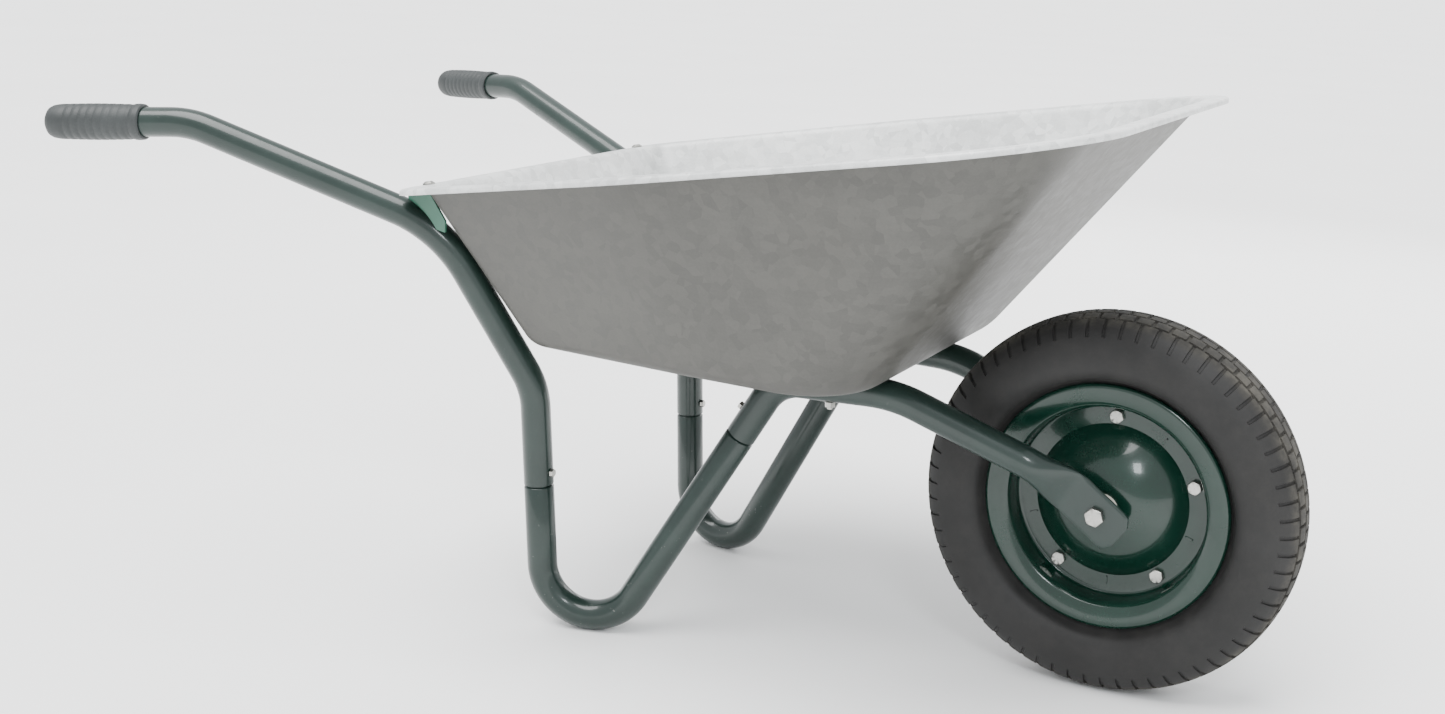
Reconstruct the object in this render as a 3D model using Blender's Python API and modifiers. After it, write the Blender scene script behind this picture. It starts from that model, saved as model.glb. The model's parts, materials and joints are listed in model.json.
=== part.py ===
"""A single-wheel garden barrow: pressed pan, tubular frame, bolted split rim and air tyre.

The barrow points along +X, from its grips to its wheel, and stands on the ground at Z = 0.
The origin is on the ground under the middle of its length. Lengths are in metres. The right
side is at -Y. Points of the frame are written for the left side and mirrored by `side`.
"""

import math

import bmesh
import bpy
from mathutils import Matrix, Vector

# ---------------------------------------------------------------- driving dimensions
AXLE_X = 0.44980
TYRE_RADIUS = 0.195
TYRE_HALF_WIDTH = 0.047
GAP = 0.0003

TUBE_RADIUS = 0.016
TUBE_WALL = 0.0015
SPIGOT_RADIUS = 0.0138
TUBE_SIDES = 12
BEND_STEP = math.radians(16)

RIM_HEIGHT = 0.587
RIM_SLOPE = 0.16
PAN_FLOOR_Z = 0.3115
PAN_SHEET = 0.0012
FLANGE_WIDTH = 0.024
LIP_DEPTH = 0.005

HUB_RADIUS = 0.018
HUB_HALF_LENGTH = 0.040
AXLE_RADIUS = 0.006
BEARING_BORE = 0.00608
TAB_INNER_Y = 0.058
TAB_OUTER_Y = 0.064
RIM_SHEET = 0.0024
RIM_BOLT_CIRCLE = 0.088
RIM_BOLTS = 5
RIM_BOLT_PHASE = math.radians(90)
VALVE_Y = 0.013
VALVE_ROOT = 0.1262
VALVE_ANGLE = RIM_BOLT_PHASE + math.pi / RIM_BOLTS

GRIP_LENGTH = 0.108
GRIP_BORE = 0.0165

# ---------------------------------------------------------------- scene and materials
for old in list(bpy.data.objects):
    bpy.data.objects.remove(old, do_unlink=True)

PARTS = bpy.data.collections.new("wheelbarrow")
CUTTERS = bpy.data.collections.new("cutters")
for collection in (PARTS, CUTTERS):
    bpy.context.scene.collection.children.link(collection)


def finish(name, colour, roughness, metallic):
    """A plain Principled finish."""
    made = bpy.data.materials.new(name)
    made.use_nodes = True
    shader = made.node_tree.nodes["Principled BSDF"]
    shader.inputs["Base Color"].default_value = (*colour, 1.0)
    shader.inputs["Roughness"].default_value = roughness
    shader.inputs["Metallic"].default_value = metallic
    return made


GALVANISED = finish("galvanised", (0.42, 0.42, 0.40), 0.45, 0.8)
GREEN = finish("green_paint", (0.03, 0.075, 0.06), 0.3, 0.0)
BLACK_RUBBER = finish("black_rubber", (0.03, 0.03, 0.03), 0.8, 0.0)
GRIP_PLASTIC = finish("grip_plastic", (0.06, 0.065, 0.066), 0.6, 0.0)
ZINC = finish("zinc", (0.6, 0.6, 0.56), 0.3, 1.0)
NYLON = finish("nylon", (0.7, 0.68, 0.62), 0.5, 0.0)


# ---------------------------------------------------------------- making tools
def add_object(name, mesh, material, smooth=math.radians(35)):
    """Links a mesh as a named part."""
    part = bpy.data.objects.new(name, mesh)
    mesh.materials.clear()
    mesh.materials.append(material)
    mesh.shade_smooth()
    mesh.set_sharp_from_angle(angle=smooth)
    PARTS.objects.link(part)
    return part


def as_cutter(obj):
    """Moves an object to the cutters, drawn as wire."""
    for home in list(obj.users_collection):
        home.objects.unlink(obj)
    CUTTERS.objects.link(obj)
    obj.hide_render = True
    obj.display_type = "WIRE"
    return obj


def boolean(part, tool, operation="DIFFERENCE"):
    """Cuts or joins with an exact Boolean that stays on the part."""
    step = part.modifiers.new(operation.lower(), "BOOLEAN")
    step.operation = operation
    step.object = tool


def mesh_from(name, build):
    """A mesh filled in by build(bm), with its faces turned outwards."""
    bm = bmesh.new()
    build(bm)
    bmesh.ops.recalc_face_normals(bm, faces=bm.faces)
    mesh = bpy.data.meshes.new(name)
    bm.to_mesh(mesh)
    bm.free()
    return mesh


def skin(bm, rings, closed=False):
    """Joins rings of equal length with quads; the ends are capped unless the loft is closed."""
    rows = [[bm.verts.new(p) for p in ring] for ring in rings]
    pairs = list(zip(rows, rows[1:]))
    if closed:
        pairs.append((rows[-1], rows[0]))
    for first, second in pairs:
        count = len(first)
        for i in range(count):
            j = (i + 1) % count
            bm.faces.new((first[i], first[j], second[j], second[i]))
    if not closed:
        bm.faces.new(rows[0])
        bm.faces.new(rows[-1])


def cylinder(name, radius, start, end, segments=12):
    """A capped cylinder between two points."""
    start, end = Vector(start), Vector(end)
    run = end - start
    place = Matrix.Translation((start + end) / 2) @ run.to_track_quat("Z", "Y").to_matrix().to_4x4()

    def build(bm):
        bmesh.ops.create_cone(bm, cap_ends=True, segments=segments, radius1=radius,
                              radius2=radius, depth=run.length, matrix=place)

    return mesh_from(name, build)


def hole(name, radius, start, end, segments=12):
    """A cylindrical cutter."""
    return as_cutter(add_object(name, cylinder(name, radius, start, end, segments), ZINC))


def turned(name, profile, steps, material, at=(0.0, 0.0, 0.0), closed=True):
    """Turns a (radius, offset) profile about a line along Y. The profile runs down its outer side."""
    mesh = bpy.data.meshes.new(name)
    count = len(profile)
    edges = [(i, (i + 1) % count) for i in range(count if closed else count - 1)]
    mesh.from_pydata([(radius, 0.0, offset) for radius, offset in profile], edges, [])
    part = add_object(name, mesh, material)
    part.rotation_euler = (-math.pi / 2, 0.0, 0.0)
    part.location = at
    spin = part.modifiers.new("turn", "SCREW")
    spin.steps = spin.render_steps = steps
    spin.use_merge_vertices = True
    spin.merge_threshold = 0.00001
    spin.use_smooth_shade = True
    return part


def arc(centre, radius, start, stop, count):
    """Points on an arc in the (radius, offset) plane, angles in degrees."""
    points = []
    for i in range(count):
        a = math.radians(start + (stop - start) * i / (count - 1))
        points.append((centre[0] + radius * math.cos(a), centre[1] + radius * math.sin(a)))
    return points


# ---------------------------------------------------------------- bent tubes
def bent_path(corners, bend_radii):
    """Straight runs between corners, joined by arcs of the given bend radii."""
    points = [Vector(corners[0])]
    for before, corner, after, radius in zip(corners, corners[1:], corners[2:], bend_radii):
        before, corner, after = Vector(before), Vector(corner), Vector(after)
        incoming = (corner - before).normalized()
        outgoing = (after - corner).normalized()
        turn = incoming.angle(outgoing)
        if radius == 0.0 or turn < 0.01:
            points.append(corner)
            continue
        start = corner - incoming * radius * math.tan(turn / 2)
        inward = (outgoing - incoming * math.cos(turn)).normalized()
        steps = max(2, math.ceil(turn / BEND_STEP))
        for i in range(steps + 1):
            a = turn * i / steps
            points.append(start + incoming * radius * math.sin(a) + inward * radius * (1 - math.cos(a)))
    points.append(Vector(corners[-1]))
    return points


def tube_curve(name, points, radius, factors=None, sides=TUBE_SIDES):
    """A round bar along the points, as a mesh with welded caps."""
    curve = bpy.data.curves.new(name, "CURVE")
    curve.dimensions = "3D"
    curve.bevel_depth = radius
    curve.bevel_resolution = sides // 2 - 2
    curve.use_fill_caps = True
    curve.twist_mode = "MINIMUM"
    spline = curve.splines.new("POLY")
    spline.points.add(len(points) - 1)
    for i, point in enumerate(points):
        spline.points[i].co = (*point, 1.0)
        spline.points[i].radius = factors[i] if factors else 1.0
    wire = bpy.data.objects.new(name + "_wire", curve)
    CUTTERS.objects.link(wire)
    bpy.context.view_layer.update()
    graph = bpy.context.evaluated_depsgraph_get()
    mesh = bpy.data.meshes.new_from_object(wire.evaluated_get(graph))
    mesh.transform(wire.matrix_world)
    bpy.data.objects.remove(wire, do_unlink=True)
    bm = bmesh.new()
    bm.from_mesh(mesh)
    bmesh.ops.remove_doubles(bm, verts=bm.verts, dist=0.00001)
    bmesh.ops.recalc_face_normals(bm, faces=bm.faces)
    bm.to_mesh(mesh)
    bm.free()
    return mesh


def extended(points, before=0.0, after=0.0):
    """The same path made longer at either end."""
    first = points[0] + (points[0] - points[1]).normalized() * before
    last = points[-1] + (points[-1] - points[-2]).normalized() * after
    return [first, *points[1:-1], last]


def hollow(part, name, points, radius, sides=TUBE_SIDES):
    """Bores a tube along its own path."""
    core = add_object(name, tube_curve(name, points, radius, sides=sides), GREEN)
    boolean(part, as_cutter(core))


def along(start, end, z):
    """The point of a straight run at a height."""
    start, end = Vector(start), Vector(end)
    return start + (end - start) * (z - start.z) / (end.z - start.z)


# ---------------------------------------------------------------- frame
def mirrored(x, y, z, side):
    """A frame point measured from the axle, on one side of the barrow."""
    return Vector((AXLE_X + x, side * y, z))


def frame_points(side):
    """The corners of one side's tubes, measured back from the axle."""
    return {
        "grip_end": mirrored(-1.0865, 0.3436, 0.5225, side),
        "handle_bend": mirrored(-0.940, 0.300, 0.530, side),
        "pan_bend": mirrored(-0.676, 0.217, 0.433, side),
        "leg_bend": mirrored(-0.590, 0.169, 0.263, side),
        "foot": mirrored(-0.571, 0.160, -0.115, side),
        "under_pan": mirrored(-0.333, 0.106, 0.2951, side),
        "fork_bend": mirrored(-0.208, 0.093, 0.2951, side),
        "tab_start": mirrored(-0.065, 0.079, 0.2415, side),
        "tab_bend": mirrored(-0.028, 0.061, 0.2156, side),
        "axle": mirrored(0.0, 0.061, TYRE_RADIUS, side),
        "tab_end": mirrored(0.018, 0.061, 0.1817, side),
    }


FOOT_BEND = 0.0560
HANDLE_END_Z = 0.158
LEG_SCREW_Z = 0.171
FORK_END_Z = 0.232
FORK_SCREW_Z = 0.254
SPIGOT_LENGTH = 0.040
SHOULDER = 0.0015


def handle_tube(side, label):
    """Grip to leg: one tube bent at the grip, behind the pan and over the leg."""
    p = frame_points(side)
    end = along(p["leg_bend"], p["foot"], HANDLE_END_Z)
    points = bent_path([p["grip_end"], p["handle_bend"], p["pan_bend"], p["leg_bend"], end],
                       [0.110, 0.140, 0.090])
    name = "handle_tube_" + label
    tube = add_object(name, tube_curve(name, points, TUBE_RADIUS), GREEN)
    core = extended(points, 0.01, 0.01)
    hollow(tube, name + "_core", core, TUBE_RADIUS - TUBE_WALL)
    fat = tube_curve(name + "_clearance", points, TUBE_RADIUS + GAP)
    return tube, as_cutter(add_object(name + "_clearance", fat, GREEN))


def leg_loop(side, label):
    """The foot: a U of tube whose two reduced ends plug into the handle and fork tubes."""
    p = frame_points(side)
    leg_end = along(p["leg_bend"], p["foot"], HANDLE_END_Z - GAP)
    fork_end = along(p["foot"], p["under_pan"], FORK_END_Z - GAP)
    up_leg = (p["leg_bend"] - p["foot"]).normalized()
    up_fork = (p["under_pan"] - p["foot"]).normalized()
    body = bent_path([leg_end - up_leg * 2 * SHOULDER, p["foot"], fork_end - up_fork * 2 * SHOULDER],
                     [FOOT_BEND])
    head = [leg_end + up_leg * SPIGOT_LENGTH, leg_end - up_leg * SHOULDER]
    tail = [fork_end - up_fork * SHOULDER, fork_end + up_fork * SPIGOT_LENGTH]
    points = head + body + tail
    thin = SPIGOT_RADIUS / TUBE_RADIUS
    factors = [thin, thin] + [1.0] * len(body) + [thin, thin]
    name = "leg_loop_" + label
    tube = add_object(name, tube_curve(name, points, TUBE_RADIUS, factors), GREEN)
    hollow(tube, name + "_core", extended(points, 0.01, 0.01), SPIGOT_RADIUS - TUBE_WALL, 8)
    return tube


def fork_ring(centre, ahead, side, flat):
    """One section of the fork tube: round where flat is 0, pressed to a tab where it is 1."""
    across = Vector((0.0, side, 0.0))
    across = (across - ahead * across.dot(ahead)).normalized()
    rise = ahead.cross(across)
    half_thick = TUBE_RADIUS + (0.5 * (TAB_OUTER_Y - TAB_INNER_Y) - TUBE_RADIUS) * flat
    half_wide = TUBE_RADIUS * (1 + 0.42 * flat)
    ring = []
    for i in range(TUBE_SIDES):
        a = 2 * math.pi * (i + 0.5) / TUBE_SIDES
        squared = 1 + 0.12 * flat * abs(math.sin(2 * a))
        sway = across * math.cos(a) * half_thick * squared
        if flat == 1.0:
            sway = across * math.copysign(half_thick, math.cos(a))
        ring.append(centre + sway + rise * math.sin(a) * half_wide)
    return ring


def fork_tube(side, label):
    """From the foot's rear socket, forward under the pan and down to a flattened axle tab."""
    p = frame_points(side)
    start = along(p["foot"], p["under_pan"], FORK_END_Z)
    points = bent_path([start, p["under_pan"], p["fork_bend"], p["tab_start"], p["tab_bend"],
                        p["tab_end"]], [0.045, 0.150, 0.030, 0.0])
    flats = []
    for point in points:
        reach = (point.x - p["tab_start"].x) / (p["tab_bend"].x - p["tab_start"].x)
        flats.append(min(max(reach, 0.0), 1.0))
    rings = []
    for i, point in enumerate(points):
        back = points[max(i - 1, 0)]
        front = points[min(i + 1, len(points) - 1)]
        ahead = (front - back).normalized()
        if flats[i] == 1.0:
            ahead = (p["tab_end"] - p["tab_bend"]).normalized()
        rings.append(fork_ring(point, ahead, side, flats[i]))
    nose = points[-1] + (points[-1] - points[-2]).normalized() * 0.010
    rings.append([nose + (q - points[-1]) * 0.6 for q in rings[-1]])
    for q in rings[-1]:
        q.y = side * (TAB_OUTER_Y if abs(q.y) > p["axle"].y * side else TAB_INNER_Y)
    name = "fork_tube_" + label
    tube = add_object(name, mesh_from(name, lambda bm: skin(bm, rings)), GREEN)
    core = [q for q in points if q.x <= p["tab_start"].x - 0.004]
    hollow(tube, name + "_core", extended(core, 0.01, 0.0), TUBE_RADIUS - TUBE_WALL)
    wide = 0.02 * side
    boolean(tube, hole(name + "_axle_hole", AXLE_RADIUS + GAP, p["axle"] - Vector((0, wide, 0)),
                       p["axle"] + Vector((0, wide, 0))))
    return tube


# ---------------------------------------------------------------- fasteners
def hexagon(across_flats, z, turn=0.0):
    """Twelve points round a hexagon: its corners and the middles of its sides."""
    ring = []
    for i in range(12):
        reach = across_flats / 2 if i % 2 else across_flats / math.sqrt(3)
        a = math.radians(30 * i) + turn
        ring.append((reach * math.cos(a), reach * math.sin(a), z))
    return ring


def circle(radius, z):
    """Twelve points round a circle."""
    return [(radius * math.cos(math.radians(30 * i)), radius * math.sin(math.radians(30 * i)), z)
            for i in range(12)]


def bolt_mesh(name, size, across_flats, head, length):
    """A hexagon bolt: the head sits above z = 0 and the shank runs down from it."""
    rings = [circle(across_flats * 0.46, head), hexagon(across_flats, head * 0.86),
             hexagon(across_flats, 0.0), circle(size / 2, 0.0), circle(size / 2, -length)]
    return mesh_from(name, lambda bm: skin(bm, rings))


def domed_bolt_mesh(name, size, head_radius, head, length):
    """A round-headed bolt that lies smooth inside the pan."""
    rings = [circle(head_radius * 0.55, head), circle(head_radius, head * 0.35),
             circle(head_radius, 0.0), circle(size / 2, 0.0), circle(size / 2, -length)]
    return mesh_from(name, lambda bm: skin(bm, rings))


def nut_mesh(name, size, across_flats, thickness):
    """A hexagon nut whose seat is at z = 0 and whose body hangs below it."""
    bore = size / 2 + GAP
    rings = [hexagon(across_flats, 0.0), hexagon(across_flats, -thickness),
             circle(bore, -thickness), circle(bore, 0.0)]
    return mesh_from(name, lambda bm: skin(bm, rings, closed=True))


def ring_mesh(name, inner, outer, thickness):
    """A washer whose top is at z = 0."""
    rings = [circle(outer, 0.0), circle(outer, -thickness), circle(inner, -thickness),
             circle(inner, 0.0)]
    return mesh_from(name, lambda bm: skin(bm, rings, closed=True))


def place(name, mesh, material, point, up):
    """Stands a fastener at a point with its +Z along `up`."""
    part = add_object(name, mesh, material)
    part.matrix_world = Matrix.Translation(point) @ Vector(up).to_track_quat("Z", "X").to_matrix().to_4x4()
    return part


def bolt_and_nut(name, bolt, nut, point, up, grip):
    """A bolt seated at a point, with its nut on the far side of what it clamps."""
    up = Vector(up).normalized()
    place(name + "_bolt", bolt, ZINC, point + up * GAP, up)
    place(name + "_nut", nut, ZINC, point - up * (grip + GAP), up)


def joint_screw(name, tubes, seat, up):
    """A short tapping screw through an outer tube and the spigot inside it."""
    cross_holes(tubes, name, 0.00275, seat, up, 0.016)
    place(name, JOINT_SCREW, ZINC, seat + up * GAP, up)


def cross_holes(parts, name, radius, point, up, depth):
    """Drills the same hole through several parts."""
    up = Vector(up).normalized()
    drill = hole(name + "_hole", radius + GAP, point + up * 0.006, point - up * depth)
    for part in parts:
        boolean(part, drill)


# ---------------------------------------------------------------- pan
def outline(corners, height, per_corner=5):
    """A closed outline mirrored in Y, with each (x, y, radius) corner rounded off."""
    ring = [(x, y) for x, y, _ in corners] + [(x, -y) for x, y, _ in reversed(corners)]
    radii = [r for _, _, r in corners] + [r for _, _, r in reversed(corners)]
    points = []
    count = len(ring)
    for i in range(count):
        before, corner, after = (Vector(ring[(i + k) % count]) for k in (-1, 0, 1))
        incoming = (corner - before).normalized()
        outgoing = (after - corner).normalized()
        turn = incoming.angle(outgoing)
        inward = (outgoing - incoming * math.cos(turn)).normalized()
        start = corner - incoming * radii[i] * math.tan(turn / 2)
        for k in range(per_corner):
            a = turn * k / (per_corner - 1)
            q = start + incoming * radii[i] * math.sin(a) + inward * radii[i] * (1 - math.cos(a))
            points.append(Vector((AXLE_X + q.x, q.y, height(q.x))))
    return points


def rim_plane(x):
    """The rim rises towards the wheel; x is measured from the axle."""
    return RIM_HEIGHT + RIM_SLOPE * x


RIM_CORNERS = [(-0.706, 0.263, 0.036), (-0.400, 0.338, 0.500), (0.042, 0.350, 0.150)]
WALL_CORNERS = [(-0.684, 0.244, 0.022), (-0.402, 0.314, 0.480), (0.018, 0.326, 0.128)]
FLOOR_CORNERS = [(-0.588, 0.188, 0.024), (-0.390, 0.214, 0.400), (-0.204, 0.231, 0.076)]
FLOOR_INNER = [(-0.571, 0.172, 0.010), (-0.388, 0.197, 0.380), (-0.221, 0.214, 0.059)]
WALL_LEVELS = 3
FILLET_START = 0.92
FILLET_STEPS = 3


def pan():
    """Pressed tray: a lip, a flat flange, sloping walls and a rounded floor edge."""
    outer = outline(RIM_CORNERS, rim_plane)
    wall_top = outline(WALL_CORNERS, rim_plane)
    wall_foot = outline(FLOOR_CORNERS, lambda x: PAN_FLOOR_Z)
    floor = outline(FLOOR_INNER, lambda x: PAN_FLOOR_Z)
    rings = [[q - Vector((0, 0, LIP_DEPTH)) for q in outer], outer]
    for level in range(WALL_LEVELS):
        t = FILLET_START * level / (WALL_LEVELS - 1)
        rings.append([a.lerp(b, t) for a, b in zip(wall_top, wall_foot)])
    shoulder = rings[-1]
    for step in range(1, FILLET_STEPS + 1):
        t = step / FILLET_STEPS
        rings.append([a.lerp(b, t).lerp(b.lerp(c, t), t) for a, b, c in zip(shoulder, wall_foot, floor)])

    def build(bm):
        rows = [[bm.verts.new(p) for p in ring] for ring in rings]
        for first, second in zip(rows, rows[1:]):
            for i in range(len(first)):
                j = (i + 1) % len(first)
                bm.faces.new((first[i], second[i], second[j], first[j]))
        bm.faces.new(rows[-1])

    bm = bmesh.new()
    build(bm)
    bmesh.ops.recalc_face_normals(bm, faces=bm.faces)
    floor_face = max(bm.faces, key=lambda face: face.calc_area())
    if floor_face.normal.z > 0:
        bmesh.ops.reverse_faces(bm, faces=bm.faces)
    mesh = bpy.data.meshes.new("pan")
    bm.to_mesh(mesh)
    bm.free()
    tray = add_object("pan", mesh, GALVANISED)
    sheet = tray.modifiers.new("sheet", "SOLIDIFY")
    sheet.thickness = PAN_SHEET
    sheet.offset = -1.0
    sheet.use_even_offset = True
    return tray


# ---------------------------------------------------------------- pan brackets
TAB_THICK = 0.003


def pan_bracket(side, label, clearance):
    """A welded gusset behind the pan's rear corner, with a tab bolted under the flange."""
    slope = math.atan(RIM_SLOPE)
    along_rim = Vector((math.cos(slope), 0.0, math.sin(slope)))
    up = Vector((-math.sin(slope), 0.0, math.cos(slope)))

    def at(x, drop):
        base = Vector((AXLE_X + x, 0.0, rim_plane(x)))
        return base - up * drop

    web_outline = [at(-0.7035, GAP), at(-0.6875, GAP), at(-0.6690, 0.0370), at(-0.6712, 0.0490),
                   at(-0.7118, 0.0330), at(-0.7118, 0.0072), at(-0.7035, 0.0072)]
    y_out, y_in = 0.2290, 0.2262

    def build_web(bm):
        skin(bm, [[Vector((q.x, side * y, q.z)) for q in web_outline] for y in (y_out, y_in)])

    web = add_object("pan_bracket_" + label, mesh_from("web", build_web), GREEN)

    def build_tab(bm):
        box = []
        for y in (0.201, 0.2285):
            corner = [at(-0.7035, GAP), at(-0.6875, GAP), at(-0.6875, GAP + TAB_THICK),
                      at(-0.7035, GAP + TAB_THICK)]
            box.append([Vector((q.x, side * y, q.z)) for q in corner])
        skin(bm, box)

    tab = as_cutter(add_object("bracket_tab_" + label, mesh_from("tab", build_tab), GREEN))
    boolean(web, tab, "UNION")
    boolean(web, clearance)
    point = Vector((AXLE_X - 0.6965, side * 0.212, rim_plane(-0.6965)))
    return web, point + up * PAN_SHEET, up


# ---------------------------------------------------------------- wheel
def wheel_centre():
    return (AXLE_X, 0.0, TYRE_RADIUS)


WHEEL_STEPS = 32


def tyre():
    """An air tyre's casing: tread, sidewalls and two beads, open towards the rim."""
    crown = TYRE_RADIUS
    side = [(crown, 0.0), (crown - 0.0016, 0.020), (crown - 0.008, 0.034), (crown - 0.025, 0.0435),
            (0.148, TYRE_HALF_WIDTH), (0.135, 0.0415), (0.1284, 0.0285), (0.1210, 0.0270),
            (0.1125, 0.0290), (0.1070, 0.0274), (0.1044, 0.0230)]
    bead = [(0.1044, 0.0195)]
    inside = [(0.128, 0.0230), (0.137, 0.0330), (0.150, 0.0395), (0.166, 0.0375), (0.182, 0.024),
              (0.1865, 0.0)]
    upper = side[::-1][:-1]
    outer = [(r, a) for r, a in upper] + [side[0]] + [(r, -a) for r, a in side[1:]]
    inner = [(r, -a) for r, a in bead + inside[:-1]] + [inside[-1]]
    inner += [(r, a) for r, a in reversed(bead + inside[:-1])]
    return turned("tyre", outer + inner, WHEEL_STEPS, BLACK_RUBBER, wheel_centre())


TUBE_CENTRE = 0.152
INNER_TUBE_RADIUS = 0.030
INNER_TUBE_WALL = 0.0022


def inner_tube():
    """The air tube: a thin torus whose wall is open only where the valve stem is moulded in."""
    ring = arc((TUBE_CENTRE, 0.0), INNER_TUBE_RADIUS, 90, -270, 11)[:-1]
    cover = turned("inner_tube", ring, 20, BLACK_RUBBER, wheel_centre())
    bore = arc((TUBE_CENTRE, 0.0), INNER_TUBE_RADIUS - INNER_TUBE_WALL, 90, -270, 11)[:-1]
    boolean(cover, as_cutter(turned("inner_tube_air", bore, 20, BLACK_RUBBER, wheel_centre())))
    boolean(cover, hole("valve_root", 0.0058, wheel_point(0.110, VALVE_ANGLE, VALVE_Y),
                        wheel_point(0.134, VALVE_ANGLE, VALVE_Y)))


RING_FACE = RIM_SHEET + GAP / 2


def rim_profile():
    """The visible face of one rim half, hub to flange, as (radius, distance from the middle)."""
    dome = [(HUB_RADIUS + GAP, 0.0375), (0.030, 0.0365), (0.048, 0.0292), (0.064, 0.0170),
            (0.0765, 0.0046)]
    ring = [(0.0797, RING_FACE), (0.0975, RING_FACE)]
    seat = [(0.1005, 0.0050), (0.1015, 0.0240)]
    flange = [(0.1050, 0.0300), (0.1130, 0.0325), (0.1215, 0.0335), (0.1258, 0.0320),
              (0.1268, 0.0285)]
    return dome + ring + seat + flange


def offset_profile(profile, thickness):
    """The other face of the sheet: every point moved towards the middle plane side."""
    moved = []
    for i, point in enumerate(profile):
        before = profile[max(i - 1, 0)]
        after = profile[min(i + 1, len(profile) - 1)]
        run = Vector((after[0] - before[0], after[1] - before[1])).normalized()
        normal = Vector((run.y, -run.x))
        moved.append((point[0] + normal.x * thickness, point[1] + normal.y * thickness))
    return moved


def rim_half(side, label):
    """Half of the bolted rim: welded dome, flat bolt ring, bead seat and rolled flange."""
    face = rim_profile()
    back = offset_profile(face, RIM_SHEET)
    loop = back[::-1] + face if side > 0 else [(r, -a) for r, a in face[::-1] + back]
    return turned("rim_half_" + label, loop[::-1], WHEEL_STEPS, GREEN, wheel_centre())


def rim_bolt_angle(index):
    return RIM_BOLT_PHASE + 2 * math.pi * index / RIM_BOLTS


def wheel_point(radius, angle, y):
    """A point on the wheel from its distance and angle round the axle."""
    x, _, z = wheel_centre()
    return Vector((x + radius * math.cos(angle), y, z + radius * math.sin(angle)))


def rim_fasteners(halves):
    """Five bolts through both bolt rings, heads on the right and nuts on the left."""
    bolt = bolt_mesh("rim_bolt", 0.008, 0.013, 0.0053, 0.0165)
    nut = nut_mesh("rim_nut", 0.008, 0.013, 0.0065)
    seat = RING_FACE + GAP
    for i in range(RIM_BOLTS):
        a = rim_bolt_angle(i)
        drill = hole(f"rim_hole_{i + 1}", 0.004 + GAP, wheel_point(RIM_BOLT_CIRCLE, a, 0.01),
                     wheel_point(RIM_BOLT_CIRCLE, a, -0.01))
        for half in halves:
            boolean(half, drill)
        place(f"rim_bolt_{i + 1}", bolt, ZINC, wheel_point(RIM_BOLT_CIRCLE, a, -seat), (0, -1, 0))
        place(f"rim_nut_{i + 1}", nut, ZINC, wheel_point(RIM_BOLT_CIRCLE, a, seat), (0, -1, 0))


def valve(left_half):
    """The inner tube's rubber valve stem, through the left half's bead seat, and its cap."""
    inward = wheel_point(0.0, VALVE_ANGLE, 0.0) - wheel_point(1.0, VALVE_ANGLE, 0.0)
    upright = inward.to_track_quat("Z", "Y").to_matrix().to_4x4()
    stem_profile = [(0.0, 0.0360), (0.0039, 0.0360), (0.0039, 0.0270), (0.0055, 0.0240),
                    (0.0055, 0.0), (0.0, 0.0)]
    stem = turned("valve_stem", stem_profile, 12, BLACK_RUBBER, closed=False)
    stem.matrix_world = Matrix.Translation(wheel_point(VALVE_ROOT, VALVE_ANGLE, VALVE_Y)) @ upright
    cap_profile = [(0.0, 0.0105), (0.0050, 0.0105), (0.0056, 0.0090), (0.0056, 0.0),
                   (0.0042, 0.0), (0.0042, 0.0086), (0.0, 0.0086)]
    cap = turned("valve_cap", cap_profile, 12, GRIP_PLASTIC, closed=False)
    cap.matrix_world = Matrix.Translation(wheel_point(VALVE_ROOT - 0.0280, VALVE_ANGLE, VALVE_Y)) @ upright
    boolean(left_half, hole("valve_hole", 0.0058, wheel_point(0.094, VALVE_ANGLE, VALVE_Y),
                            wheel_point(0.110, VALVE_ANGLE, VALVE_Y)))


def sleeve(name, inner, outer, start, end, steps, material, flange=None):
    """A bush along Y; an optional (radius, width) flange stands at its outer end."""
    top, bottom = max(start, end), min(start, end)
    loop = [(outer, top), (outer, bottom), (inner, bottom), (inner, top)]
    if flange and end > start:
        loop = [(flange[0], top), (flange[0], top - flange[1]), (outer, top - flange[1]),
                (outer, bottom), (inner, bottom), (inner, top)]
    if flange and end < start:
        loop = [(outer, top), (outer, bottom + flange[1]), (flange[0], bottom + flange[1]),
                (flange[0], bottom), (inner, bottom), (inner, top)]
    return turned(name, loop, steps, material, wheel_centre())


BEARING_SEAT = 0.0137
BEARING_DEPTH = 0.014
BEARING_FLANGE = 0.0027


def hub_and_axle():
    """Hub tube, two pressed-in bearings, two spacers and the bolt that carries them."""
    sleeve("hub_tube", BEARING_SEAT + GAP, HUB_RADIUS, -HUB_HALF_LENGTH, HUB_HALF_LENGTH, 24, GREEN)
    face = HUB_HALF_LENGTH + GAP + BEARING_FLANGE
    for side, label in ((-1, "right"), (1, "left")):
        sleeve("wheel_bearing_" + label, BEARING_BORE, BEARING_SEAT,
               side * (HUB_HALF_LENGTH - BEARING_DEPTH), side * face, 24, NYLON,
               (HUB_RADIUS - 0.001, BEARING_FLANGE))
        sleeve("axle_spacer_" + label, AXLE_RADIUS + GAP, 0.010, side * (face + GAP),
               side * (TAB_INNER_Y - GAP), 16, ZINC)
    head = Vector((AXLE_X, -TAB_OUTER_Y - GAP, TYRE_RADIUS))
    length = 2 * TAB_OUTER_Y + 0.0155
    place("axle_bolt", bolt_mesh("axle_bolt", 2 * AXLE_RADIUS, 0.017, 0.0064, length), ZINC, head,
          (0, -1, 0))
    seat = Vector((AXLE_X, TAB_OUTER_Y + GAP, TYRE_RADIUS))
    washer = ring_mesh("axle_washer", AXLE_RADIUS + GAP, 0.011, 0.002)
    place("axle_washer", washer, ZINC, seat, (0, -1, 0))
    nut = nut_mesh("axle_nut", 2 * AXLE_RADIUS, 0.018, 0.0105)
    place("axle_nut", nut, ZINC, seat + Vector((0, 0.002 + GAP, 0)), (0, -1, 0))


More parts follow.
